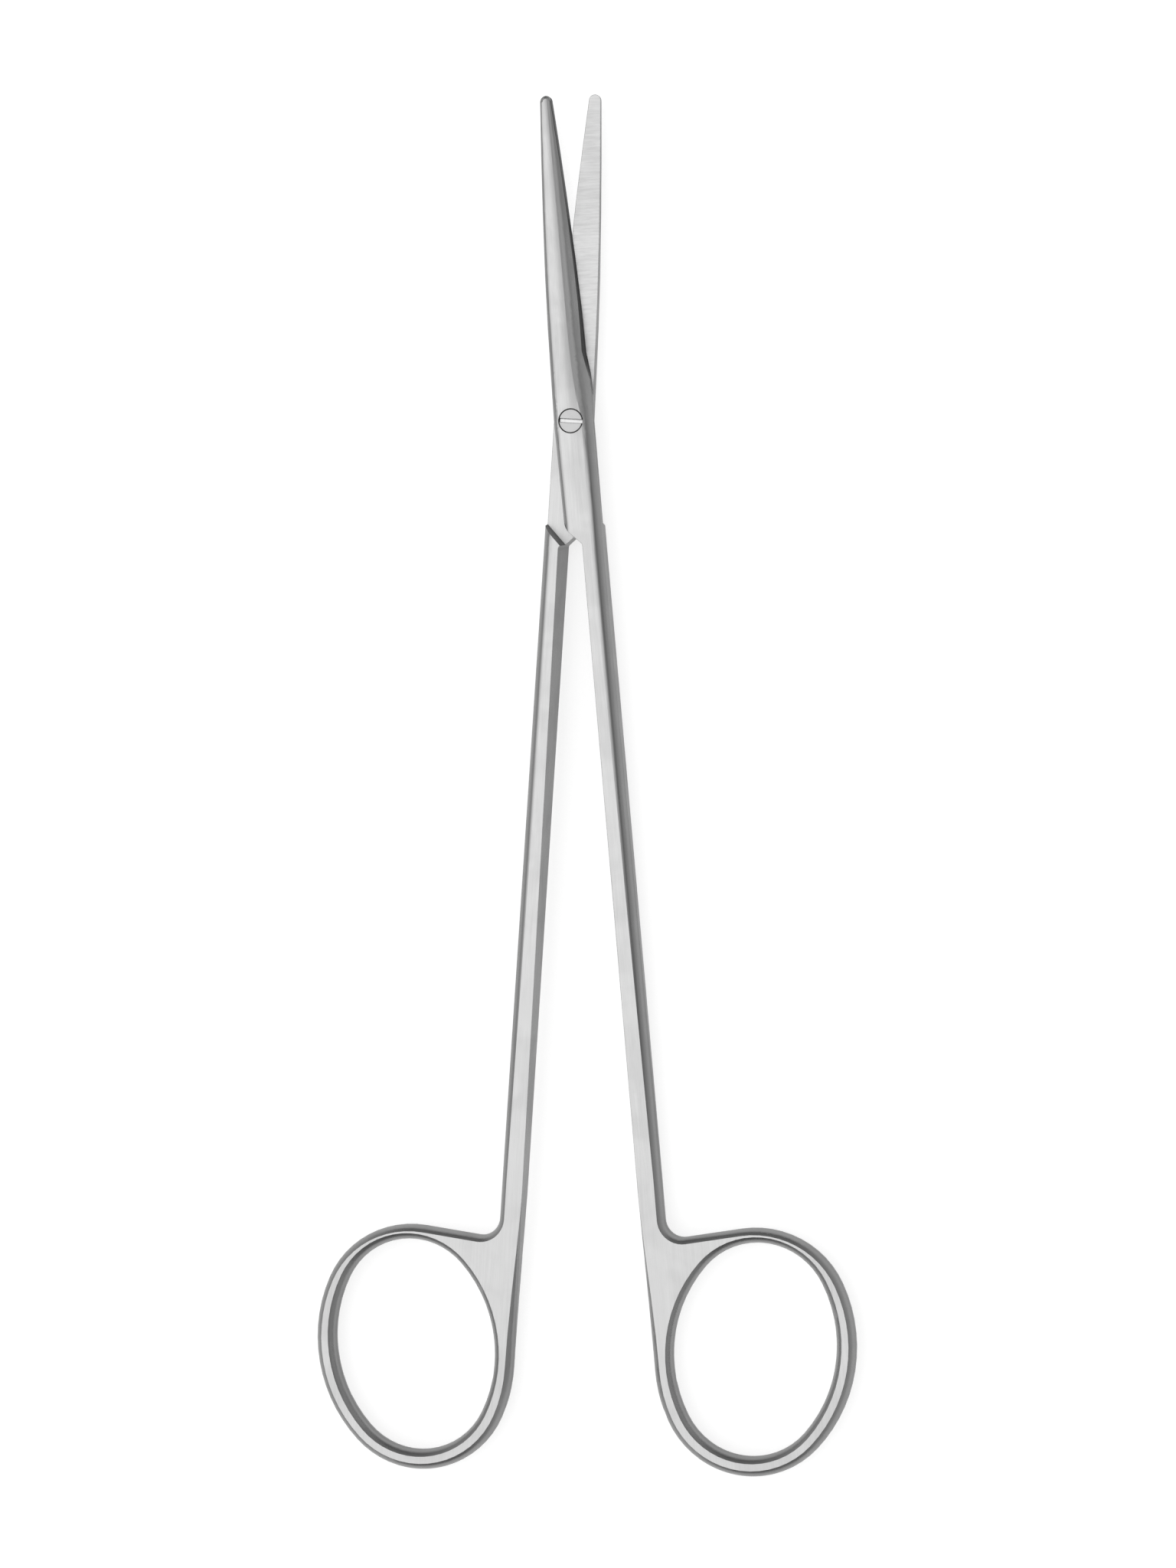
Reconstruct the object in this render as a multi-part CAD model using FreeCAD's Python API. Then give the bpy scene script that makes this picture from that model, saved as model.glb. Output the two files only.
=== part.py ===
"""Straight dissecting scissors with blunt round tips: two forged halves and one slotted pivot screw.

Every size is in millimetres. Both halves are the same forging. A half is modelled closed and outer face
up: X runs across it towards its finger ring, Y towards its tip, and Z away from the mating plane, with
the pivot axis at X = Y = 0. The lower half is the same piece turned over about Y. The finished scissors
lie on the lower half's flat, with the origin where the pivot axis meets that resting plane.
"""
import FreeCAD
import Part
import math
import os

from FreeCAD import Vector

# Pose
open_angle = 8.66            # between the halves as they lie; each is turned by half of it
half_joint = 2.2             # from the mating plane to a half's ground outer flat at the joint
ride_gap = 0.02              # running gap between the two mating faces

# Blade
tip_y = 42.2                 # pivot axis to the end of the tip
heel_y = 8.9                 # where the cutting edge starts
heel_spine = 2.19            # pivot line to the spine at the heel
heel_edge = 2.36             # pivot line to the cutting edge at the heel
end_spine = 0.76             # the same two, at the end of the tip
end_edge = 0.68
blade_curve = 1.5            # how late the blade narrows: 1 is a straight taper
heel_thick = 2.05            # thickness on the blade's ridge at the heel
end_thick = 0.82             # and at the tip
edge_land = 0.38             # height of the narrow ground face above the cutting edge
edge_lean = 13.0             # that face's lean from upright, in degrees
heel_step = 0.26             # the side stands this proud of the edge line at the heel
heel_run = 2.0               # length of the slanting step there
blade_proud = 0.07           # the forging stands this proud of the edge line before it is ground
crown_share = 0.42           # share of the blade's width that its rounded back takes
tip_run = 0.76               # length of the blade's round end
tip_dome = 0.42              # width of the slope round that end's outer face
tip_fall = 0.34              # and its height
hollow_depth = 0.10          # hollow grinding of the inner face: depth at the heel
hollow_radius = 22.0         # and radius of the hollow across the blade
hollow_run = 4.0             # length over which the hollow runs out at the heel
hollow_middle = 0.75         # share of that depth halfway along this length

# Joint
joint_spine = 2.31           # pivot line to the joint's side away from the ring
joint_foot = 2.02            # the same at the shoulder
joint_side = 2.68            # pivot line to its side towards the ring
spine_round = 0.8            # width of the rounding along the joint's far side
spine_drop = 0.6             # and its height
spine_end_share = 0.5        # share of it that is left at the end of the blade
side_round = 1.3             # width of the rounding along the joint's ring side
side_wall = 1.2              # half of the upright wall's height there
round_turn = 60.0            # roundings turn this far from the flat, then meet the wall at a soft corner
shoulder_y = -16.0           # where the shoulder's line crosses the pivot line
shoulder_slope = 45.0        # the shoulder's direction across the shank, in degrees
shoulder_lean = 8.0          # lean of the shoulder's wall, in degrees
joint_foot_run = 1.0         # the joint's taper ends this far below the shoulder's line
rim_gap = 0.18               # left between a half's slanting rim and the other's shoulder when closed
rim_corner = 2.6             # radius where the joint's far side turns into the slanting rim
rim_corner_y = -7.0          # from here the far side is eased in towards the rim
rim_ease = 0.4               # how much the easing would stand off the far side there
rim_root = 0.5               # radius where the slanting rim turns into the shank
rim_break = 0.42             # width of the slope that breaks the rim's outer edge
rim_break_depth = 0.36       # and its height

# Shank
shank_inner = 0.16           # pivot line to the shank's inner wall, at its outer face
shank_lean = 0.42            # the inner wall leans this much over its full height at the shoulder
shank_side = 2.66            # pivot line to the shank's outer side at the shoulder

# Finger ring
ring_x = 13.36               # centre of the finger hole
ring_y = -120.6
hole_long = 13.72            # half of the hole's long axis
hole_wide = 10.57            # half of its short axis
hole_tilt = 11.8             # the hole's top leans away from the other ring, in degrees
wall_end = 2.22              # width of the ring's wall at the hole's ends
wall_side = 2.5              # and at its sides
wall_tilt = 13.8             # the same lean for the ring's outside
wall_drop = 0.38             # the outside's centre sits this much lower than the hole's
ring_half = 1.55             # half of the ring's thickness
ring_bulge = 0.83            # the ring's sides stand out this far past the edges of its flats
ring_wall = 0.1              # half of the upright strip between the two curves of a side
neck_side = 3.12             # pivot line to the shank's outer side where the ring starts
neck_y = -98.0               # where the shank's taper ends
neck_slope = 4.5             # fall of the ring's top towards the shank, in degrees
crown_radius = 12.6          # the ring's top, wider than the oval's end
crown_turn = 18.0            # it leaves the oval this far from its long axis, in degrees
neck_fillet = 2.4            # radius between the shank's outer side and the ring's top
inner_break = 0.1            # radius of the shank's inner edges where the ring starts, lost in the grinding
arc_turn = 56.0              # an oval's end arcs reach this far from its long axis, in degrees

# Pivot screw
bearing_radius = 1.0         # plain length that the upper half turns on
bearing_gap = 0.02           # running clearance round it
thread_radius = 0.85         # threaded end in the lower half
thread_gap = 0.015           # fit of the thread in its hole
head_radius = 1.52
head_height = 1.1
head_gap = 0.08              # between the head and the wall of its seat
head_play = 0.02             # between the underside of the head and the seat's floor
head_crown = 0.06            # the head's top edge is broken by this much
slot_width = 0.5
slot_depth = 0.5
slot_angle = -5.0            # direction of the slot as the scissors lie, in degrees

# Worked out from the sizes above
half_open = open_angle / 2
lap = ride_gap / 2
full_joint = 2 * half_joint
foot_y = shoulder_y - joint_foot_run
clear = 8.0                  # reach of the cutting tools past the steel
over = 0.5                   # how far a slanting tool runs past the steel it cuts
past_tip = 1.0               # and how far the blade's tools run past its tip
step_runs = 4                # the tool for the heel's step is this many times as long as the step
touch = 1e-4                 # two places nearer than this are the same
blade_spans = 4              # spans of the blade's skin from the heel to past the tip
ring_drop = ring_half - ring_wall
ring_round = (ring_drop ** 2 + ring_bulge ** 2) / (2 * ring_bulge)
ring_forged = ring_wall + ring_round    # half thickness of the ring's forging before its flats are ground
ring_turn = 2 * math.atan(ring_bulge / ring_drop)


def blend(low, high, share):
    return low + (high - low) * share


def blade_share(y):
    """0 at the heel, 1 at the end of the tip."""
    return max((y - heel_y) / (tip_y - heel_y), 0.0)


def spine_x(y):
    """The side away from the ring: nearly straight along the joint, then drawn in along the blade."""
    if y <= 0:
        return -blend(joint_spine, joint_foot, y / foot_y)
    if y < heel_y:
        return -blend(joint_spine, heel_spine, y / heel_y)
    return -blend(heel_spine, end_spine, blade_share(y) ** blade_curve)


def edge_x(y):
    """The cutting edge."""
    return blend(heel_edge, end_edge, blade_share(y) ** blade_curve)


def side_x(y):
    """The side towards the ring, before the cutting edge is ground on it."""
    if y <= 0:
        return blend(joint_side, shank_side, y / foot_y)
    if y <= heel_y:
        return blend(joint_side, heel_edge + heel_step, y / heel_y)
    return edge_x(y) + blade_proud


def ridge_z(y):
    """Height of the forging's outer face above the mating plane."""
    if y <= heel_y:
        return blend(half_joint, heel_thick, max(y, 0.0) / heel_y)
    return blend(heel_thick, end_thick, blade_share(y))


def line(start, end):
    return Part.LineSegment(start, end).toShape()


def section(y, left, right, height, left_round, left_drop, right_round, wall, turn=None, corner=None):
    """One cross-section, the same above and below the mating plane.

    Both upper roundings start level with the flat. corner is the place that the right one is drawn
    towards, and turn how far it turns, where it isn't one of these.
    """
    def at(x, z):
        return Vector(x, y, z)

    def bend(start, middle, end, angle):
        """An arc of a circle or an ellipse, drawn towards its middle point."""
        curve = Part.BezierCurve()
        curve.setPoles([start, middle, end])
        curve.setWeight(2, math.cos(angle / 2))
        return curve.toShape()

    full = math.radians(round_turn)
    reach = 1 / (2 * math.cos(full / 2) ** 2)
    turn = turn or full
    ridge, side = right - right_round, height - left_drop
    bulge_x, bulge_z = corner or (ridge + right_round * reach, height)
    shelf = left + left_round
    return Part.Wire([
        line(at(left, -side), at(left, side)),
        bend(at(left, side), at(shelf - left_round * reach, height), at(shelf, height), full),
        line(at(shelf, height), at(ridge, height)),
        bend(at(ridge, height), at(bulge_x, bulge_z), at(right, wall), turn),
        line(at(right, wall), at(right, -wall)),
        bend(at(right, -wall), at(bulge_x, -bulge_z), at(ridge, -height), turn),
        line(at(ridge, -height), at(shelf, -height)),
        bend(at(shelf, -height), at(shelf - left_round * reach, -height), at(left, -side), full)])


def joint_section(y):
    return section(y, spine_x(y), side_x(y), half_joint, spine_round, spine_drop, side_round, side_wall)


def blade_section(y):
    """Domed on the outer face: the rounding towards the cutting edge takes a large share of the width."""
    share = min(y / heel_y, 1.0)
    domed = crown_share * (side_x(y) - spine_x(y))
    left = blend(1.0, spine_end_share, blade_share(y))
    return section(y, spine_x(y), side_x(y), ridge_z(y), spine_round * left, spine_drop * left,
                   blend(side_round, domed, share), blend(side_wall, edge_land, share))


def neck_section():
    """The shank where the ring starts. Its outer side is already the ring's."""
    corner = neck_side, ring_wall + ring_round * math.tan(ring_turn / 2)
    return section(neck_y, -joint_foot, neck_side, ring_half, spine_round, spine_drop, ring_bulge, ring_wall,
                   ring_turn, corner)


def forged_joint_and_shank():
    """The tapering shank and the joint above it, up to the pivot."""
    return Part.makeLoft([neck_section(), joint_section(foot_y), joint_section(0.0)], True, True)


def forged_blade():
    """One smooth skin from the pivot to past the tip."""
    span = (tip_y + over - heel_y) / blade_spans
    stations = [0.0] + [heel_y + span * i for i in range(blade_spans + 1)]
    skin = Part.makeLoft([blade_section(y) for y in stations], True, False)
    return skin.cut(grinding_tool())


def prism(edges, low, high):
    face = Part.Face(Part.Wire(edges))
    face.translate(Vector(0, 0, low))
    return face.extrude(Vector(0, 0, high - low))


def grinding_tool():
    """Keeps the blade's smooth skin from rising above the joint's flats where it starts."""
    def slab(z):
        return Part.makeBox(2 * clear, tip_y + 2 * clear, clear, Vector(-clear, -clear, z))
    return slab(half_joint).fuse(slab(-half_joint - clear))


def rounded_loop(corners):
    """A closed outline of straight runs and arcs. corners holds (x, y, radius), counter-clockwise."""
    count = len(corners)
    edges, ends, starts = [], [], []
    for i, (x, y, radius) in enumerate(corners):
        here = Vector(x, y, 0)
        back = (Vector(*corners[i - 1][:2], 0) - here).normalize()
        on = (Vector(*corners[(i + 1) % count][:2], 0) - here).normalize()
        half_corner = back.getAngle(on) / 2
        cut = radius / math.tan(half_corner)
        starts.append(here + back * cut)
        ends.append(here + on * cut)
        if radius:
            middle = here + (back + on).normalize() * (radius / math.sin(half_corner) - radius)
            edges.append(Part.Arc(starts[i], middle, ends[i]).toShape())
    return edges + [line(ends[i], starts[(i + 1) % count]) for i in range(count)]


def inner_tool():
    """What is cut away under the joint's slanting rim and along the shank's inner wall."""
    slope = math.tan(math.radians(shoulder_slope))
    rim_y = shoulder_y + rim_gap / math.cos(math.radians(shoulder_slope))
    reach = half_joint + over
    end_y = neck_y - over
    neck_x = inboard_point().x

    def outline(z, rise=0.0):
        wall_x = shank_inner + shank_lean * (half_joint - z) / full_joint
        root_y = rim_y + rise - wall_x * slope
        end_x = blend(wall_x, neck_x, (root_y - end_y) / (root_y - neck_y))
        corners = [(-clear, rim_corner_y, 0), (-clear, end_y, 0), (end_x, end_y, 0),
                   (wall_x, root_y, rim_root), (-joint_foot, rim_y + rise + joint_foot * slope, rim_corner),
                   (-joint_spine - rim_ease, rim_corner_y, 0)]
        wire = Part.Wire(Part.sortEdges(rounded_loop(corners))[0])
        wire.translate(Vector(0, 0, z))
        return wire

    through = Part.makeLoft([outline(-reach), outline(reach)], True, True)
    low = half_joint - rim_break_depth
    rise = rim_break / math.cos(math.radians(shoulder_slope)) * (reach - low) / rim_break_depth
    slope_tool = Part.makeLoft([outline(low), outline(reach, rise)], True, True)
    return through.fuse(slope_tool)


def half_lap_tool():
    """Below the mating plane, on the tip's side of the shoulder."""
    slope = math.tan(math.radians(shoulder_slope))
    deep = -half_joint - over
    far_y = tip_y + clear

    def outline(z):
        shift = (lap - z) * math.tan(math.radians(shoulder_lean)) / math.cos(math.radians(shoulder_slope))
        foot = shoulder_y - shift
        corners = [(-clear, foot - clear * slope), (clear, foot + clear * slope),
                   (clear, far_y), (-clear, far_y)]
        return Part.makePolygon([Vector(x, y, z) for x, y in corners + corners[:1]])
    return Part.makeLoft([outline(deep), outline(lap)], True, True)


def edge_tool():
    """Grinds the narrow steep face above the cutting edge, and leaves the heel standing proud."""
    lean = math.tan(math.radians(edge_lean))
    high, low = half_joint + over, -half_joint - over

    def outline(y, proud=0.0):
        x = edge_x(y) + proud
        corners = [(x - high * lean, high), (x - low * lean, low), (x + clear, low), (x + clear, high)]
        return Part.makePolygon([Vector(a, y, b) for a, b in corners + corners[:1]])

    span = (tip_y + past_tip - heel_y) / blade_spans
    ground = Part.makeLoft([outline(heel_y + span * i) for i in range(blade_spans + 1)], True, False)
    step = outline(heel_y - step_runs * heel_run, step_runs * heel_step)
    run_in = Part.makeLoft([step, outline(heel_y)], True, True)
    return ground.fuse(run_in)


def hollow_tool():
    """A long barrel that grinds the blade's inner face slightly hollow, less so towards the tip."""
    axis_z = lap + hollow_depth - hollow_radius
    start_y, full_y, end_y = heel_y - over, heel_y + hollow_run, tip_y + past_tip
    start = Vector(0, start_y, lap)
    full = Vector(0, full_y, lap + hollow_depth)
    middle = Vector(0, blend(start_y, full_y, 0.5), lap + hollow_middle * hollow_depth)
    end = Vector(0, end_y, lap)
    first, last = Vector(0, start_y, axis_z), Vector(0, end_y, axis_z)
    profile = Part.Wire([line(first, start), Part.Arc(start, middle, full).toShape(),
                         line(full, end), line(end, last), line(last, first)])
    return Part.Face(profile).revolve(first, Vector(0, 1, 0), 360)


def tip_tool():
    """Everything outside the round end of the blade, whose outer edge is sloped."""
    centre_y = tip_y - tip_run
    left, right = spine_x(centre_y), edge_x(centre_y)
    centre = Vector((left + right) / 2, centre_y, 0)
    side = Vector(right, centre_y, 0)
    top, low = ridge_z(centre_y), -half_joint - over
    outline = [line(centre + Vector(0, 0, low), side + Vector(0, 0, low)),
               line(side + Vector(0, 0, low), side + Vector(0, 0, top - tip_fall)),
               line(side + Vector(0, 0, top - tip_fall), side + Vector(-tip_dome, 0, top)),
               line(side + Vector(-tip_dome, 0, top), centre + Vector(0, 0, top)),
               line(centre + Vector(0, 0, top), centre + Vector(0, 0, low))]
    end = Part.Face(Part.Wire(outline)).revolve(centre, Vector(0, 0, 1), 360)
    block = Part.makeBox(2 * clear, clear, 2 * clear, Vector(-clear, centre_y, -clear))
    return block.cut(end)


def oval_radii(long, short):
    """Radii of an oval's end arcs and side arcs, which meet smoothly."""
    turn = math.radians(arc_turn)
    share = (1 - math.sin(turn)) / math.cos(turn)
    end = (short - long * share) / (1 - share)
    return end, short + (long - end) * math.tan(turn)


def heading(lean, turn):
    """Unit vector, turned counter-clockwise from an axis that leans from Y towards X."""
    angle = math.radians(turn - lean)
    return Vector(-math.sin(angle), math.cos(angle), 0)


def oval_point(oval, turn):
    """The point of an oval whose outward normal is turned this far from its long axis."""
    middle, lean, long, short = oval
    end, side = oval_radii(long, short)
    along, across = math.cos(math.radians(turn)), math.sin(math.radians(turn))
    if abs(along) >= math.cos(math.radians(arc_turn)):
        return middle + heading(lean, 0) * math.copysign(long - end, along) + heading(lean, turn) * end
    return middle - heading(lean, 90) * math.copysign(side - short, across) + heading(lean, turn) * side


def oval_arcs(oval, start, stop):
    """The arcs of an oval from one turn to another."""
    meets = [half + sign * arc_turn for half in (0, 180, 360, 540) for sign in (-1, 1)]
    turns = [start] + [turn for turn in meets if start < turn < stop] + [stop]
    return [Part.Arc(oval_point(oval, a), oval_point(oval, (a + b) / 2), oval_point(oval, b)).toShape()
            for a, b in zip(turns, turns[1:])]


def ring_outside():
    middle = Vector(ring_x, ring_y - wall_drop, 0)
    return middle, wall_tilt, hole_long + wall_end, hole_wide + wall_side


def ring_hole():
    return Vector(ring_x, ring_y, 0), hole_tilt, hole_long, hole_wide


def inboard_point():
    """Where the ring comes nearest to the pivot line. The shank's inner wall runs into it."""
    return oval_point(ring_outside(), 90 + wall_tilt)


def ring_outline():
    """The ring's outside with the end of the shank."""
    inner = inboard_point()
    crown_start = -wall_tilt - crown_turn
    outer = oval_point(ring_outside(), 360 - crown_turn)
    crown_centre = outer - heading(0, crown_start) * crown_radius
    crown_middle = crown_centre + heading(0, blend(crown_start, neck_slope, 0.5)) * crown_radius
    normal = heading(0, neck_slope)
    top = crown_centre + normal * crown_radius
    down = heading(0, 90 + neck_slope)
    reach = (neck_side + neck_fillet * (1 - normal.x) - top.x) / down.x
    foot = top + down * reach
    centre = foot + normal * neck_fillet
    side_end = Vector(neck_side, centre.y, 0)
    bend = (Vector(-1, 0, 0) - normal).normalize()
    inner_top = Vector(inner.x, neck_y, 0)
    side_top = Vector(neck_side, neck_y, 0)
    edges = [line(inner_top, inner)]
    edges += oval_arcs(ring_outside(), 90 + wall_tilt, 360 - crown_turn)
    edges += [Part.Arc(outer, crown_middle, top).toShape(), line(top, foot)]
    return edges + [Part.Arc(foot, centre + bend * neck_fillet, side_end).toShape(),
                    line(side_end, side_top), line(side_top, inner_top)]


def ring_blank():
    """The finger ring with the end of the shank: one flat forging with full sides, ground on both flats."""
    outside = prism(ring_outline(), -ring_forged, ring_forged)
    outside = rounded(outside, outside_radii(outside, inboard_point().x))
    reach = 2 * hole_long
    block = Part.makeBox(2 * reach, 2 * reach, 2 * ring_forged,
                         Vector(ring_x - reach, ring_y - reach, -ring_forged))
    hole = Part.Wire(oval_arcs(ring_hole(), arc_turn, 360 + arc_turn))
    block = block.cut(prism(hole.Edges, -clear, clear))
    block = rounded(block, hole_radii(block, hole))
    flats = Part.makeBox(2 * reach, 2 * reach, 2 * ring_half,
                         Vector(ring_x - reach, ring_y - reach, -ring_half))
    return outside.common(block).common(flats)


def middle_of(edge):
    return edge.valueAt((edge.FirstParameter + edge.LastParameter) / 2)


def outside_radii(plate, inner_x):
    """Radii for the edges round the two flat faces. The shank's inner edge starts nearly sharp."""
    radii = []
    for number, edge in enumerate(plate.Edges, 1):
        middle = middle_of(edge)
        if edge.BoundBox.ZLength > over or abs(middle.y - neck_y) < touch:
            continue
        sizes = (ring_round, ring_round)
        if abs(middle.x - inner_x) < touch:
            starts_at_neck = edge.valueAt(edge.FirstParameter).y > middle.y
            sizes = (inner_break, ring_round) if starts_at_neck else (ring_round, inner_break)
        radii.append((number,) + sizes)
    return radii


def hole_radii(block, hole):
    """Radii for the two rims of the finger hole."""
    radii = []
    for number, edge in enumerate(block.Edges, 1):
        middle = middle_of(edge)
        on_hole = hole.distToShape(Part.Vertex(middle.x, middle.y, 0))[0] < touch
        if on_hole and edge.BoundBox.ZLength < over:
            radii.append((number, ring_round, ring_round))
    return radii


def rounded(solid, radii):
    """Round edges of a solid. radii holds (edge number, radius at its start, radius at its end)."""
    sheet = FreeCAD.newDocument()
    base = sheet.addObject("Part::Feature", "base")
    base.Shape = solid
    fillet = sheet.addObject("Part::Fillet", "fillet")
    fillet.Base = base
    fillet.Edges = radii
    sheet.recompute()
    shape = fillet.Shape.copy()
    FreeCAD.closeDocument(sheet.Name)
    return shape


def forging():
    """One half before drilling: closed, outer face up."""
    steel = forged_joint_and_shank().fuse(forged_blade())
    for tool in (inner_tool(), half_lap_tool(), edge_tool(), hollow_tool(), tip_tool()):
        steel = steel.cut(tool)
    return steel.fuse(ring_blank()).removeSplitter().Solids[0]


def bore(radius, low, high):
    return Part.makeCylinder(radius, high - low, Vector(0, 0, low))


def upper_half(blank):
    """Turns on the screw, whose head sits in a flat-bottomed seat."""
    drilled = blank.cut(bore(bearing_radius + bearing_gap, -clear, clear))
    seat = bore(head_radius + head_gap, half_joint - head_height - head_play, clear)
    return drilled.cut(seat).Solids[0]


def lower_half(blank):
    """Holds the screw's threaded end."""
    return blank.cut(bore(thread_radius + thread_gap, -clear, clear)).Solids[0]


def pivot_screw():
    """Slotted head, plain bearing length, threaded end filed flush with the lower half."""
    under_head = half_joint - head_height
    screw = bore(head_radius, under_head, half_joint)
    top_edge = [edge for edge in screw.Edges if abs(edge.CenterOfMass.z - half_joint) < touch]
    screw = screw.makeChamfer(head_crown, top_edge)
    screw = screw.fuse(bore(bearing_radius, 0, under_head))
    screw = screw.fuse(bore(thread_radius, -half_joint, 0))
    slot = Part.makeBox(2 * clear, slot_width, clear,
                        Vector(-clear, -slot_width / 2, half_joint - slot_depth))
    slot.rotate(Vector(), Vector(0, 0, 1), slot_angle)
    return screw.cut(slot).removeSplitter().Solids[0]


def place(shape, turned_over, turn):
    """Put a piece where it lies: turned over or not, opened, and lifted onto the resting plane."""
    shape = shape.copy()
    if turned_over:
        shape.rotate(Vector(), Vector(0, 1, 0), 180)
    shape.rotate(Vector(), Vector(0, 0, 1), turn)
    shape.translate(Vector(0, 0, half_joint))
    return shape


def main():
    blank = forging()
    pieces = {
        "upper_half": place(upper_half(blank), False, half_open),
        "lower_half": place(lower_half(blank), True, -half_open),
        "pivot_screw": place(pivot_screw(), False, 0)}
    os.makedirs("parts", exist_ok=True)
    for name, piece in pieces.items():
        piece.exportStep(os.path.join("parts", name + ".step"))
        box = piece.BoundBox
        print(name, "valid", piece.isValid(), "volume", round(piece.Volume, 2),
              "size", round(box.XLength, 2), round(box.YLength, 2), round(box.ZLength, 2))


main()
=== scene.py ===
# %% [markdown]
# # Dissecting scissors in satin steel
# This lesson dresses a pair of slender surgical scissors that CAD has already
# shaped. The two halves and the screw arrive as fixed meshes, so nothing here
# moves or reshapes them. What is left for Blender is what makes ground steel
# look like ground steel: the finish of each face, the light and the camera.

# %% Load the frame
import math

import bpy
from mathutils import Matrix, Vector

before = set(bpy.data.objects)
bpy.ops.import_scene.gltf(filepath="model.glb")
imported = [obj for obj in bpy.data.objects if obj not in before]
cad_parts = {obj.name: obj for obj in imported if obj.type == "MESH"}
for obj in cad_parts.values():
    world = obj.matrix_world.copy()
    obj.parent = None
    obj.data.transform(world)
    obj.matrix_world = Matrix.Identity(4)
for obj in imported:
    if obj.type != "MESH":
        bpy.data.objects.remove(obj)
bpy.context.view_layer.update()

MM = 0.001

# %% [markdown]
# ## The steps of this lesson
# The camera comes first, because every later choice is judged through it. Then
# come the small shader groups that both steels share, the two steels, the floor
# and the light.

# %% The instrument's own measures
half_joint = 2.2 * MM            # height of the plane in which the halves meet
half_open = 8.66 / 2             # degrees by which each half is turned at rest
blade_start = 8.0                # mm from the pivot to where the blades begin
upper, lower, screw = (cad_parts[n] for n in ("upper_half", "lower_half", "pivot_screw"))
print("faces:", {n.name: len(n.data.polygons) for n in (upper, lower, screw)})

# %% [markdown]
# ## Camera
# A product photographer hangs the camera almost straight above the instrument.
# Here it stands 60 cm away and leans 12.6 degrees to the right, which is why the
# inner wall of the left shank shows. The position is worked out from where the
# pivot sits in the picture, so that the frame needs no shift.

# %% Place the camera
picture_wide, picture_high = 1536, 2048
sensor = 36.0                    # mm along the picture's long side
camera_far = 600 * MM
pixels_per_mm = 10.13
lean_right, lean_up, roll = (math.radians(a) for a in (12.6, 0.2, 0.615))
pivot_seen_at = (750.0, 551.2)

back = Vector((math.sin(lean_right) * math.cos(lean_up), math.sin(lean_up),
               math.cos(lean_right) * math.cos(lean_up)))
level = Vector((0, 1, 0)).cross(back).normalized()
upright = back.cross(level)
right = math.cos(roll) * level - math.sin(roll) * upright
top = math.sin(roll) * level + math.cos(roll) * upright

focal_pixels = pixels_per_mm * camera_far / MM
aside = -(pivot_seen_at[0] - picture_wide / 2) / focal_pixels * camera_far
along = (pivot_seen_at[1] - picture_high / 2) / focal_pixels * camera_far
pivot = Vector((0, 0, half_joint))
camera_place = pivot + back * camera_far + right * aside + top * along

lens = bpy.data.cameras.new("camera")
lens.sensor_width = sensor
lens.lens = focal_pixels * sensor / picture_high
camera = bpy.data.objects.new("camera", lens)
camera.matrix_world = (Matrix.Translation(camera_place)
                       @ Matrix((right, top, back)).transposed().to_4x4())
bpy.context.scene.collection.objects.link(camera)
bpy.context.scene.camera = camera
print("lens", round(lens.lens, 1), "mm, camera at", [round(v, 3) for v in camera_place])

# %% [markdown]
# ## Helpers for node trees
# Shader trees get long when each node takes three lines. One helper adds a node
# with its settings and wires its inputs, so that a tree reads like a recipe. An
# input is given by its name or number, as a plain value or as another node's
# output.

# %% Helpers for nodes
def add(tree, kind, inputs=None, **settings):
    """A new node. inputs maps a socket's name or number to a value or an output socket."""
    node = tree.nodes.new(kind)
    for name, value in settings.items():
        setattr(node, name, value)
    for key, value in (inputs or {}).items():
        if isinstance(value, bpy.types.NodeSocket):
            tree.links.new(value, node.inputs[key])
        else:
            node.inputs[key].default_value = value
    return node


def group(name, inputs, outputs):
    """An empty node group. Socket names are mapped to kinds or to default numbers."""
    tree = bpy.data.node_groups.new(name, "ShaderNodeTree")
    for sockets, side in ((inputs, "INPUT"), (outputs, "OUTPUT")):
        for label, kind in sockets.items():
            number = isinstance(kind, (int, float))
            socket = tree.interface.new_socket(
                label, in_out=side, socket_type="NodeSocketFloat" if number else kind)
            if number:
                socket.default_value = kind
    given = tree.nodes.new("NodeGroupInput").outputs
    result = tree.nodes.new("NodeGroupOutput").inputs
    return tree, given, result


def math_node(tree, operation, first, second=0.0):
    """The result of one Math node."""
    node = add(tree, "ShaderNodeMath", {0: first, 1: second}, operation=operation)
    return node.outputs[0]


def times(tree, first, second):
    """Two numbers multiplied."""
    return math_node(tree, "MULTIPLY", first, second)


def remap(tree, value, low, high, to_low=0.0, to_high=1.0):
    """value eased from low..high to to_low..to_high."""
    limits = {0: value, 1: low, 2: high, 3: to_low, 4: to_high}
    return add(tree, "ShaderNodeMapRange", limits, interpolation_type="SMOOTHSTEP").outputs[0]


VECTOR = "NodeSocketVector"
print("helpers ready")

# %% [markdown]
# ## Grinding lines
# A grinding belt leaves thousands of fine parallel scratches, each a few
# hundredths of a millimetre wide and several millimetres long. A noise that is
# squeezed across the lines and stretched along them gives just that, and it
# never repeats as an image would. The lines can be turned, so one group serves
# the lengthwise lines of the shanks and the crosswise ones of the blades.

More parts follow.
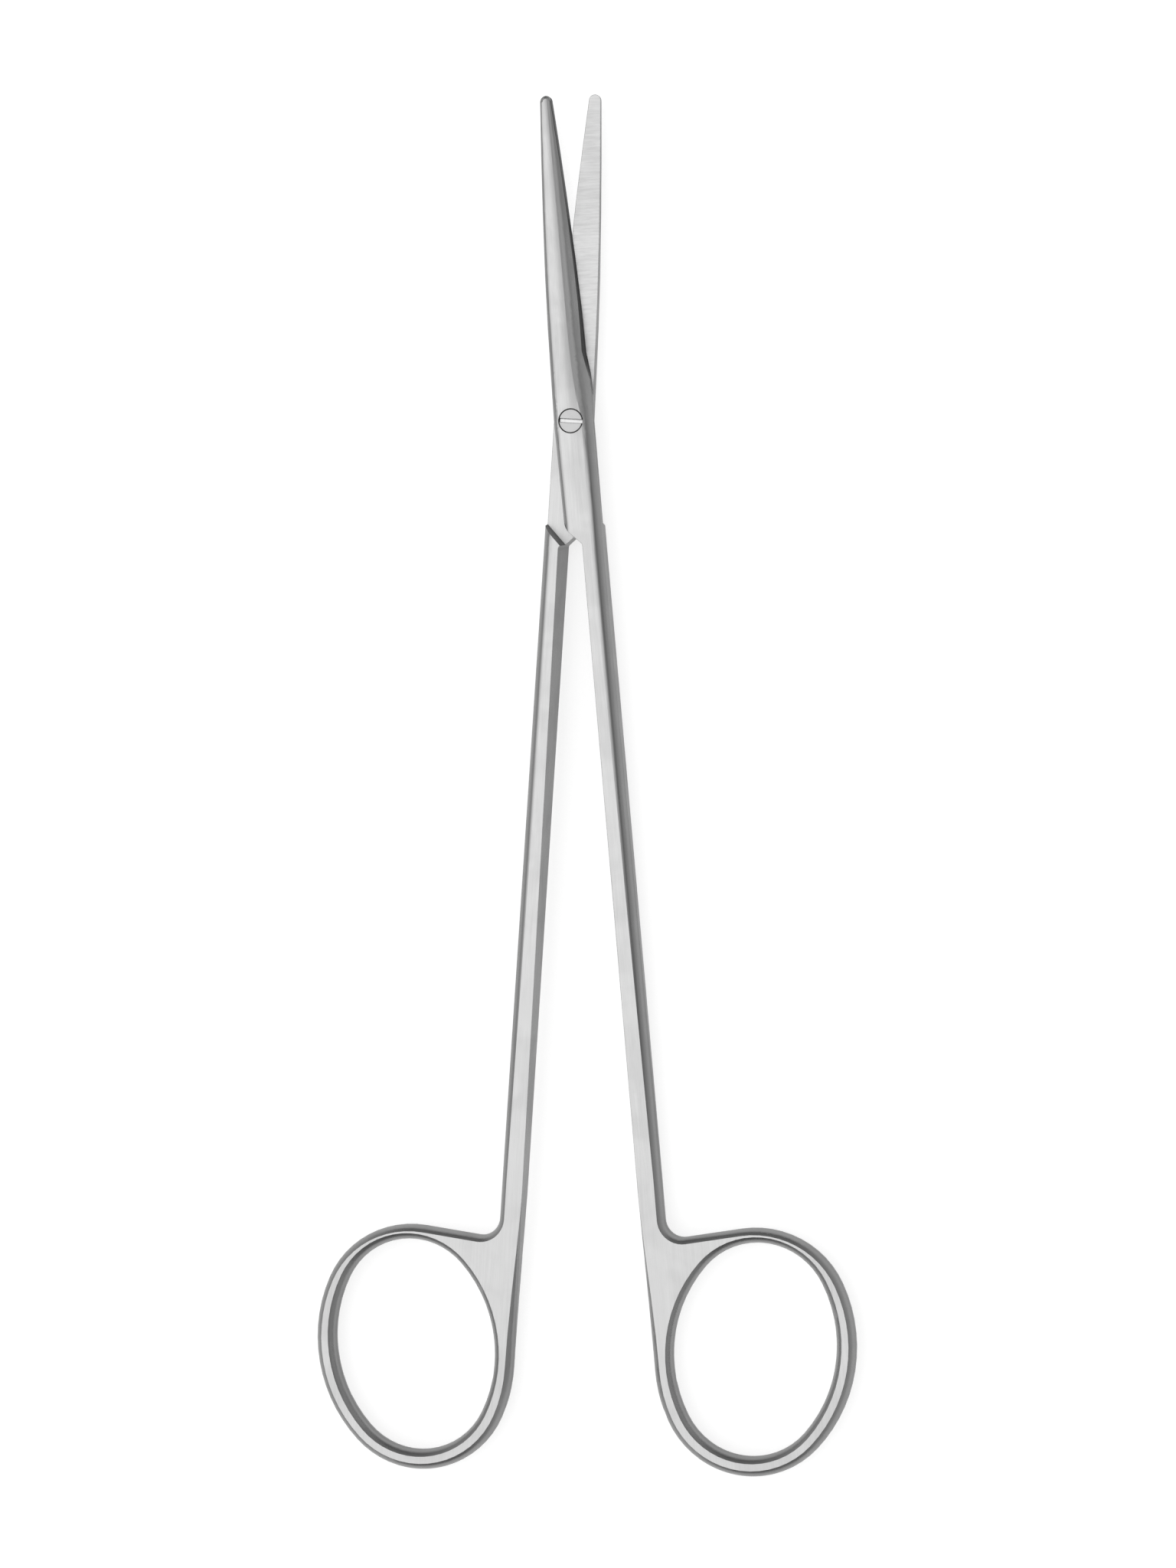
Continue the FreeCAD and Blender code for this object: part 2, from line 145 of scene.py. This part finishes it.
# %% Group: grinding lines
tree, given, result = group(
    "grinding_lines",
    {"Point": VECTOR, "Width": 0.07, "Length": 7.0, "Turn": 0.0},
    {"Lines": 0.0})
turned = add(tree, "ShaderNodeVectorRotate", {"Vector": given["Point"], "Angle": given["Turn"]},
             rotation_type="Z_AXIS")
faint, strong = 0.28, 0.72       # the noise rarely leaves this range
parts = add(tree, "ShaderNodeSeparateXYZ", {0: turned.outputs[0]}).outputs
squeezed = add(tree, "ShaderNodeCombineXYZ", {
    0: math_node(tree, "DIVIDE", parts[0], given["Width"]),
    1: math_node(tree, "DIVIDE", parts[1], given["Length"]),
    2: math_node(tree, "DIVIDE", parts[2], given["Width"])})
fine = add(tree, "ShaderNodeTexNoise", {"Vector": squeezed.outputs[0], "Scale": 1.0, "Detail": 3.0,
                                        "Roughness": 0.65})
tree.links.new(remap(tree, fine.outputs[0], faint, strong), result["Lines"])
grinding_lines = tree
print(tree.name, "has", len(tree.nodes), "nodes")

# %% [markdown]
# ## Which face is it?
# The broad faces of this instrument are surface-ground and bright. The rounded
# sides are only satin-brushed by hand. Their darker tone, and the darkest one of
# steep walls, is partly that finish and partly painted shade for the dark room
# that the sides mirror. The surface normal in the part's own space tells them
# apart at every pose, because it turns with the part.

# %% Group: flats and walls
flat_from = 0.86, 0.985          # the normal's upright part: brushed side, ground flat
wall_from = 0.45, 0.10           # brushed side, upright wall
tree, given, result = group("face_kinds", {"Normal": VECTOR}, {"Flat": 0.0, "Wall": 0.0})
upward = add(tree, "ShaderNodeSeparateXYZ", {0: given["Normal"]}).outputs[2]
facing = math_node(tree, "ABSOLUTE", upward)
tree.links.new(remap(tree, facing, *flat_from), result["Flat"])
tree.links.new(remap(tree, facing, *wall_from), result["Wall"])
face_kinds = tree
print(tree.name, "has", len(tree.nodes), "nodes")

# %% [markdown]
# ## Marks of use
# Even a new instrument has been wiped, boxed and handled. Broad soft smudges
# change the gloss a little, and a few hair-fine scratches run at odd angles to
# the grinding. Both stay faint: on satin steel they should be felt rather than
# seen.

# %% Group: marks of use
hair_width, hair_length = 0.16, 5.0      # mm
hair_rare = 0.93                         # only lines stronger than this become scratches
hair_turns = (0.5, 3.0), (-0.9, 11.0), (1.3, 23.0)      # radians, and a shift to unlike noise
tree, given, result = group("marks_of_use", {"Point": VECTOR, "Smudge size": 6.0},
                            {"Smudge": 0.0, "Scratches": 0.0})
patch = add(tree, "ShaderNodeTexNoise", {
    "Vector": given["Point"], "Scale": math_node(tree, "DIVIDE", 1.0, given["Smudge size"]),
    "Detail": 2.0, "Distortion": 0.6})
tree.links.new(remap(tree, patch.outputs[0], 0.35, 0.7), result["Smudge"])
scratches = None
for turn, shift in hair_turns:
    moved = add(tree, "ShaderNodeVectorMath", {0: given["Point"], 1: (shift, shift, shift)},
                operation="ADD")
    hair = add(tree, "ShaderNodeGroup", {}, node_tree=grinding_lines)
    tree.links.new(moved.outputs[0], hair.inputs["Point"])
    for label, value in (("Width", hair_width), ("Length", hair_length), ("Turn", turn)):
        hair.inputs[label].default_value = value
    thin = remap(tree, hair.outputs["Lines"], hair_rare, 1.0)
    scratches = thin if scratches is None else math_node(tree, "MAXIMUM", scratches, thin)
tree.links.new(scratches, result["Scratches"])
marks_of_use = tree
print(tree.name, "has", len(tree.nodes), "nodes")

# %% [markdown]
# ## Painted shade on edges
# Where two faces meet, the last polish rounds the corner off by a few
# hundredths of a millimetre. A Bevel node asks what the normal would be if the
# edge were rounded. Where that differs from the real normal there is an edge, and
# the mask needs no painting and no extra geometry. On steel that lies under a
# bright ceiling such a corner mirrors the dark horizon, so the edge gets a dark
# tone: painted shade that stands in for that dark reflection.

# %% Group: painted shade on edges
tree, given, result = group("painted_edge_shade", {"Reach": 0.08}, {"Edge": 0.0})
radius = times(tree, given["Reach"], MM)
rounded = add(tree, "ShaderNodeBevel", {"Radius": radius}, samples=6)
plain = add(tree, "ShaderNodeNewGeometry")
match = add(tree, "ShaderNodeVectorMath", {0: rounded.outputs[0], 1: plain.outputs["Normal"]},
            operation="DOT_PRODUCT")
same, bent = 0.995, 0.90         # cosine between the two normals: no edge, full edge
tree.links.new(remap(tree, match.outputs["Value"], same, bent), result["Edge"])
painted_edge_shade = tree
print(tree.name, "has", len(tree.nodes), "nodes")

# %% [markdown]
# ## Painted shade in the corners
# Steep walls in shut-in places, such as the corner behind the shoulder and the
# seat of the screw's head, get a dark tone: painted shade. Ambient Occlusion tells
# how shut in a place is. It looks only at the piece's own faces, so the mask
# doesn't change when the scissors open or stand on a table.

# %% Group: painted corner shade
tree, given, result = group("painted_corner_shade", {"Reach": 1.5}, {"Shade": 0.0})
reach = times(tree, given["Reach"], MM)
open_air, deep_corner = 0.97, 0.62       # what Ambient Occlusion gives there
shut_in = add(tree, "ShaderNodeAmbientOcclusion", {"Distance": reach}, samples=8, only_local=True)
tree.links.new(remap(tree, shut_in.outputs["AO"], open_air, deep_corner), result["Shade"])
painted_corner_shade = tree
print(tree.name, "has", len(tree.nodes), "nodes")

# %% [markdown]
# ## Satin steel for the two halves
# Each half gets its own copy of the same recipe, because the grinding lines
# follow its shank and the shanks lean apart. Steel is a metal all over, so
# Metallic is a plain 1. Colour and roughness are mixed from the masks: bright
# ground flats, darker brushed sides, and the darkest tone on steep walls. These
# darker tones are partly the brushed finish and partly painted shade. The dark
# tones of edges, shut-in corners and the land above a cutting edge are painted
# shade. The inner faces of the blades are ground across, as the real ones are.

# %% Steel tones and roughness
# The side and wall tones are partly the brushed finish and partly painted shade.
flat_tone, side_finish_and_shade_tone, wall_finish_and_shade_tone = 0.595, 0.26, 0.175
# The tones of edges, shut-in corners and the land above a cutting edge are painted shade.
edge_shade_tone, corner_shade_tone, land_shade_tone = 0.10, 0.04, 0.04
flat_rough, side_rough = 0.36, 0.29
edge_shade_share, edge_reach = 0.8, 0.12       # how much of the edge's tone shows, and mm
corner_shade_reach = 2.4                         # mm
cross_turn = 84                          # degrees between the two kinds of lines
cross_width, cross_length = 0.16, 3.0    # mm
long_streak, cross_streak = 0.04, 0.07   # how much the lines darken the steel
smudge_tone, smudge_rough = 0.97, 0.04   # what a smudge does to tone and roughness
line_rough = -0.03, 0.04                 # roughness between the lines and on them
line_depth = 0.002                       # mm
print("tones", flat_tone, side_finish_and_shade_tone, wall_finish_and_shade_tone)

# %% Helpers for the steels


def mix(tree, share, first, second):
    """A number mixed by share. All three may be plain values or sockets."""
    return add(tree, "ShaderNodeMix", {0: share, 2: first, 3: second}, data_type="FLOAT").outputs[0]


def placed(tree, node_group, inputs):
    """The outputs of a node group placed in a material."""
    return add(tree, "ShaderNodeGroup", inputs, node_tree=node_group).outputs


def finish_metal(tree, tone, rough, height):
    """The Principled shader of a steel. Its relief is one bump, with its height in mm."""
    colour = add(tree, "ShaderNodeCombineColor", {0: tone, 1: tone, 2: tone})
    relief = add(tree, "ShaderNodeBump", {"Strength": 1.0, "Distance": MM, "Height": height})
    steel = add(tree, "ShaderNodeBsdfPrincipled", {
        "Base Color": colour.outputs[0], "Roughness": rough, "Metallic": 1.0,
        "Normal": relief.outputs[0]})
    out = add(tree, "ShaderNodeOutputMaterial")
    tree.links.new(steel.outputs[0], out.inputs[0])


def point_in_mm(tree):
    """The place on the part, in its own space, in millimetres, and its own normal."""
    place = add(tree, "ShaderNodeTexCoord")
    point = add(tree, "ShaderNodeVectorMath", {0: place.outputs["Object"], "Scale": 1 / MM},
                operation="SCALE")
    return point.outputs[0], place.outputs["Normal"]


print("ready to mix a steel")

# %% [markdown]
# ## The crown of a blade
# A blade's outer face isn't flat. Seen in a soft light it has one highlight on the
# spine's side and shades off evenly towards the cutting edge. CAD has rounded
# the part next to the edge. So that the light doesn't break where this rounding
# starts, the relief eases into it: its height falls by a seventh of the blade's
# width from the spine's side to the edge. The blade narrows towards its tip, so
# the place across it is first turned into a share of its width there.

# %% Group: blade crown
heel_y, tip_y = 8.9, 42.2        # mm from the pivot
blade_bend = 1.5                 # how late the blade narrows
spine_heel, spine_tip = 2.19, 0.76       # mm from the pivot line to the spine
edge_heel, edge_tip = 2.36, 0.68         # and to the cutting edge
crown_from, crown_to, crown_fall = 0.35, 1.05, 0.145      # shares of the blade's width
crown_start = -13.0              # mm: it fades out along the joint

tree, given, result = group(
    "blade_crown", {"Point": VECTOR, "Lean": 0.0, "Hand": 1.0}, {"Crown": 0.0})
turned = add(tree, "ShaderNodeVectorRotate", {
    "Vector": given["Point"], "Angle": times(tree, given["Lean"], -1.0)}, rotation_type="Z_AXIS")
place = add(tree, "ShaderNodeSeparateXYZ", {0: turned.outputs[0]}).outputs
across = times(tree, place[0], given["Hand"])
share = add(tree, "ShaderNodeMapRange", {0: place[1], 1: heel_y, 2: tip_y}, clamp=True).outputs[0]
narrowed = math_node(tree, "POWER", share, blade_bend)
spine = add(tree, "ShaderNodeMapRange", {0: narrowed, 3: spine_heel, 4: spine_tip}).outputs[0]
width = add(tree, "ShaderNodeMapRange", {
    0: narrowed, 3: spine_heel + edge_heel, 4: spine_tip + edge_tip}).outputs[0]
from_spine = math_node(tree, "DIVIDE", math_node(tree, "ADD", across, spine), width)
fall = times(tree, remap(tree, from_spine, crown_from, crown_to, 0.0, -crown_fall), width)
begins = remap(tree, place[1], crown_start, heel_y)
tree.links.new(times(tree, fall, begins), result["Crown"])
blade_crown = tree
print(tree.name, "has", len(tree.nodes), "nodes")

# %% [markdown]
# ## The recipe for the halves
# The recipe itself has three parts. First it finds out where a point lies: on
# the inner face of a blade, on its crowned outer face, or on the narrow steep
# land above a cutting edge. Then it mixes the tone from those masks, and last
# the roughness and the relief. The land's near-black tone is painted shade.

# %% The satin steel recipe
blade_fade = 3.0                 # mm over which the blade's own marks begin
inner_within = 0.5, 0.3          # mm from the mating plane: where the inner face's finish fades in
outer_past = 0.5, 0.7            # and where the outer face's does
edge_facing = 0.3, 0.8           # how far a wall faces the cutting edge's side


def satin_steel(name, lean):
    """The halves' steel. lean is the turn of this half's long axis, in degrees."""
    material = bpy.data.materials.new(name)
    material.use_nodes = True
    tree = material.node_tree
    tree.nodes.clear()
    point, normal = point_in_mm(tree)
    kinds = placed(tree, face_kinds, {"Normal": normal})
    marks = placed(tree, marks_of_use, {"Point": point})
    edge = placed(tree, painted_edge_shade, {"Reach": edge_reach})["Edge"]
    corner_shade = placed(tree, painted_corner_shade, {"Reach": corner_shade_reach})["Shade"]
    lengthwise = placed(tree, grinding_lines, {"Point": point, "Turn": math.radians(-lean)})
    crosswise = placed(tree, grinding_lines, {
        "Point": point, "Turn": math.radians(cross_turn - lean),
        "Width": cross_width, "Length": cross_length})
    crown = placed(tree, blade_crown, {
        "Point": point, "Lean": math.radians(lean), "Hand": math.copysign(1, lean)})["Crown"]

    place = add(tree, "ShaderNodeSeparateXYZ", {0: point}).outputs
    towards = add(tree, "ShaderNodeSeparateXYZ", {0: normal}).outputs
    along_blade = remap(tree, place[1], blade_start - blade_fade, blade_start)
    from_plane = math_node(tree, "ABSOLUTE", math_node(tree, "SUBTRACT", place[2], half_joint / MM))
    inner_face = times(tree, along_blade, remap(tree, from_plane, *inner_within))
    inner_face = times(tree, inner_face, kinds["Flat"])
    edge_side = remap(tree, times(tree, towards[0], math.copysign(1, lean)), *edge_facing)
    shaded_land = times(tree, times(tree, along_blade, edge_side), kinds["Wall"])
    outer_face = remap(tree, from_plane, *outer_past)
    lines = mix(tree, inner_face, lengthwise["Lines"], crosswise["Lines"])

    # Bright flats, darker sides and walls: the darker tones are partly finish, partly painted
    # shade.
    tone = mix(tree, kinds["Flat"], side_finish_and_shade_tone, flat_tone)
    tone = mix(tree, kinds["Wall"], tone, wall_finish_and_shade_tone)
    # Painted shade: the steep land above the cutting edge gets a near-black tone.
    tone = mix(tree, shaded_land, tone, land_shade_tone)
    # Painted shade along edges: a dark tone where the Bevel mask finds a corner.
    tone = mix(tree, times(tree, edge, edge_shade_share), tone, edge_shade_tone)
    # Painted shade on walls in shut-in corners.
    tone = mix(tree, times(tree, corner_shade, kinds["Wall"]), tone, corner_shade_tone)
    streak = mix(tree, inner_face, long_streak, cross_streak)
    tone = times(tree, tone, math_node(tree, "SUBTRACT", 1.0, times(tree, streak, lines)))
    tone = times(tree, tone, remap(tree, marks["Smudge"], 0.0, 1.0, 1.0, smudge_tone))

    rough = mix(tree, kinds["Flat"], side_rough, flat_rough)
    rough = math_node(tree, "ADD", rough, remap(tree, lines, 0.0, 1.0, *line_rough))
    rough = math_node(tree, "ADD", rough, remap(tree, marks["Smudge"], 0.0, 1.0, 0.0, smudge_rough))
    fine = times(tree, math_node(tree, "SUBTRACT", lines, marks["Scratches"]), line_depth)
    height = math_node(tree, "ADD", fine, times(tree, outer_face, crown))
    finish_metal(tree, tone, rough, height)
    return material


for node, lean in ((upper, half_open), (lower, -half_open)):
    steel = satin_steel("satin_steel_" + node.name, lean)
    for slot in node.material_slots:
        slot.material = steel
    print(node.name, "wears", steel.name, "with", len(steel.node_tree.nodes), "nodes")

# %% [markdown]
# ## Turned steel for the screw
# The screw is cut on a lathe, so its lines are rings round the pivot. The
# distance from the axis is fed to the noise in place of a sideways place, and
# the angle is left out, which closes every line into a circle.

# %% Screw steel
# The slot's brighter tone is a painted highlight.
screw_tone, slot_highlight_tone = 0.48, 0.70
slot_depth = 0.5                         # mm
screw_rough, screw_smudge = 0.30, 0.05
rim_shade_share, rim_reach = 0.95, 0.14        # the head's edge: share of the edge's tone, and mm
ring_width, ring_depth = 0.05, 0.0015    # mm
ring_dark, ring_bright = 0.95, 1.03

material = bpy.data.materials.new("screw_steel")
material.use_nodes = True
tree = material.node_tree
tree.nodes.clear()
point, normal = point_in_mm(tree)
place = add(tree, "ShaderNodeSeparateXYZ", {0: point}).outputs
flat_point = add(tree, "ShaderNodeCombineXYZ", {0: place[0], 1: place[1]})
from_axis = add(tree, "ShaderNodeVectorMath", {0: flat_point.outputs[0]}, operation="LENGTH")
ring_point = add(tree, "ShaderNodeCombineXYZ", {0: from_axis.outputs["Value"], 2: place[2]})
rings = placed(tree, grinding_lines, {
    "Point": ring_point.outputs[0], "Width": ring_width})["Lines"]
kinds = placed(tree, face_kinds, {"Normal": normal})
marks = placed(tree, marks_of_use, {"Point": point, "Smudge size": 1.5})
edge = placed(tree, painted_edge_shade, {"Reach": rim_reach})["Edge"]
head_top = 2 * half_joint / MM
# Painted highlight: the floor of the slot gets a brighter tone than the head.
slot_highlight_mask = times(tree, remap(tree, place[2], head_top - slot_depth / 2, head_top - slot_depth),
                remap(tree, place[2], half_joint / MM, head_top - 2 * slot_depth))
tone = mix(tree, slot_highlight_mask, screw_tone, slot_highlight_tone)
# The screw's steep walls get the darker wall tone: partly finish, partly painted shade.
tone = mix(tree, kinds["Wall"], tone, wall_finish_and_shade_tone)
# Painted shadow round the rim of the screw's head, from the Bevel mask.
tone = mix(tree, times(tree, edge, rim_shade_share), tone, edge_shade_tone)
tone = times(tree, tone, remap(tree, rings, 0.0, 1.0, ring_dark, ring_bright))
rough = remap(tree, marks["Smudge"], 0.0, 1.0, screw_rough, screw_rough + screw_smudge)
height = times(tree, math_node(tree, "SUBTRACT", rings, marks["Scratches"]), ring_depth)
finish_metal(tree, tone, rough, height)
for slot in screw.material_slots:
    slot.material = material
print("screw wears", material.name)

# %% [markdown]
# ## Floor
# The photograph shows the instrument on plain white. A wide sheet of white
# board does that job. Its own colour is pale grey, so it keeps a soft shadow, and
# what is missing to white is a faint glow that only the camera and the steel's
# reflections see. More light would reach white as well, but it would bleach the
# steel. The board lies a hair below the joint, the lowest part of the instrument.

# %% A sheet of white board
floor_size, floor_drop = 20.0, 0.02 * MM
floor_tone, floor_glow = 0.50, 0.72
tooth_play = 0.01                # how much the board's fine tooth changes its tone
tooth_depth = 0.01 * MM
mesh = bpy.data.meshes.new("floor")
half = floor_size / 2
corners = [(x, y, -floor_drop) for x, y in
           ((-half, -half), (half, -half), (half, half), (-half, half))]
mesh.from_pydata(corners, [], [(0, 1, 2, 3)])
floor = bpy.data.objects.new("floor", mesh)
bpy.context.scene.collection.objects.link(floor)

board = bpy.data.materials.new("white_board")
board.use_nodes = True
tree = board.node_tree
tree.nodes.clear()
point = point_in_mm(tree)[0]
tooth = add(tree, "ShaderNodeTexNoise", {"Vector": point, "Scale": 2.5, "Detail": 3.0})
tint = remap(tree, tooth.outputs[0], 0.3, 0.7, floor_tone - tooth_play, floor_tone + tooth_play)
colour = add(tree, "ShaderNodeCombineColor", {0: tint, 1: tint, 2: tint})
relief = add(tree, "ShaderNodeBump", {
    "Strength": 0.3, "Distance": tooth_depth, "Height": tooth.outputs[0]})
card = add(tree, "ShaderNodeBsdfPrincipled", {
    "Base Color": colour.outputs[0], "Roughness": 0.8, "Specular IOR Level": 0.1,
    "Normal": relief.outputs[0]})
path = add(tree, "ShaderNodeLightPath").outputs
seen = math_node(tree, "MAXIMUM", path["Is Camera Ray"],
                 math_node(tree, "MAXIMUM", path["Is Glossy Ray"], path["Is Transmission Ray"]))
glow = add(tree, "ShaderNodeEmission", {
    "Color": (1, 1, 1, 1), "Strength": times(tree, seen, floor_glow)})
both = add(tree, "ShaderNodeAddShader", {0: card.outputs[0], 1: glow.outputs[0]})
out = add(tree, "ShaderNodeOutputMaterial")
tree.links.new(both.outputs[0], out.inputs[0])
mesh.materials.append(board)
print("floor", floor_size, "m wide, tone", floor_tone, "with a glow of", floor_glow)

# %% [markdown]
# ## Light
# Satin steel shows whatever is around it, so the room is most of the picture. A
# broad bright ceiling, a little to the left, fills the flats. Towards the
# horizon the room goes dark, and that draws the dark line along every rounded
# side. Two wide, dimmer panels stand low at the left and right. They keep the
# long sides from going black, and the flats too when the camera comes down. Two
# fainter ones do the same at the ends. One soft lamp above the left side gives
# the floor its gentle shadow.

# %% Room and lamp
ceiling, panels, end_panels, rest_of_room = 1.0, 0.60, 0.28, 0.16
ceiling_side = Vector((-0.26, 0.0, 0.97)).normalized()
ceiling_reach = 0.55, 0.96       # cosine of the angle from its middle: dark, full
panel_side = 0.25, 0.80          # how far a direction points sideways: end wall, side wall
panel_top = 0.75, 0.45           # how far it points up: above the side panels, on them
end_foot, end_top = (0.15, 0.45), (0.90, 0.65)            # the same for the end panels
room = bpy.data.worlds.new("room")
bpy.context.scene.world = room
room.use_nodes = True
tree = room.node_tree
tree.nodes.clear()
sky = add(tree, "ShaderNodeTexCoord").outputs["Generated"]
overhead = add(tree, "ShaderNodeVectorMath", {0: sky, 1: ceiling_side}, operation="DOT_PRODUCT")
towards = add(tree, "ShaderNodeSeparateXYZ", {0: sky}).outputs
at_side = remap(tree, math_node(tree, "ABSOLUTE", towards[0]), *panel_side)
at_end = math_node(tree, "SUBTRACT", 1.0, at_side)
on_side_panel = times(tree, at_side, remap(tree, towards[2], *panel_top))
on_end_panel = times(tree, remap(tree, towards[2], *end_foot), remap(tree, towards[2], *end_top))
light = remap(tree, overhead.outputs["Value"], *ceiling_reach, rest_of_room, rest_of_room + ceiling)
light = math_node(tree, "ADD", light, times(tree, on_side_panel, panels))
light = math_node(tree, "ADD", light, times(tree, times(tree, at_end, on_end_panel), end_panels))
background = add(tree, "ShaderNodeBackground", {"Color": (1, 1, 1, 1), "Strength": light})
out = add(tree, "ShaderNodeOutputWorld")
tree.links.new(background.outputs[0], out.inputs[0])

lamp_size, lamp_watts, lamp_place = 0.6, 0.3, (-0.25, 0.05, 0.90)
middle = Vector((0, -0.045, 0))          # of the instrument
lamp_data = bpy.data.lights.new("key_lamp", "AREA")
lamp_data.size, lamp_data.energy = lamp_size, lamp_watts
key = bpy.data.objects.new("key_lamp", lamp_data)
key.location = lamp_place
key.rotation_euler = (middle - key.location).to_track_quat("-Z", "Y").to_euler()
bpy.context.scene.collection.objects.link(key)
bpy.context.scene.view_settings.view_transform = "Standard"
print("lamp:", key.name, lamp_data.energy, "W")
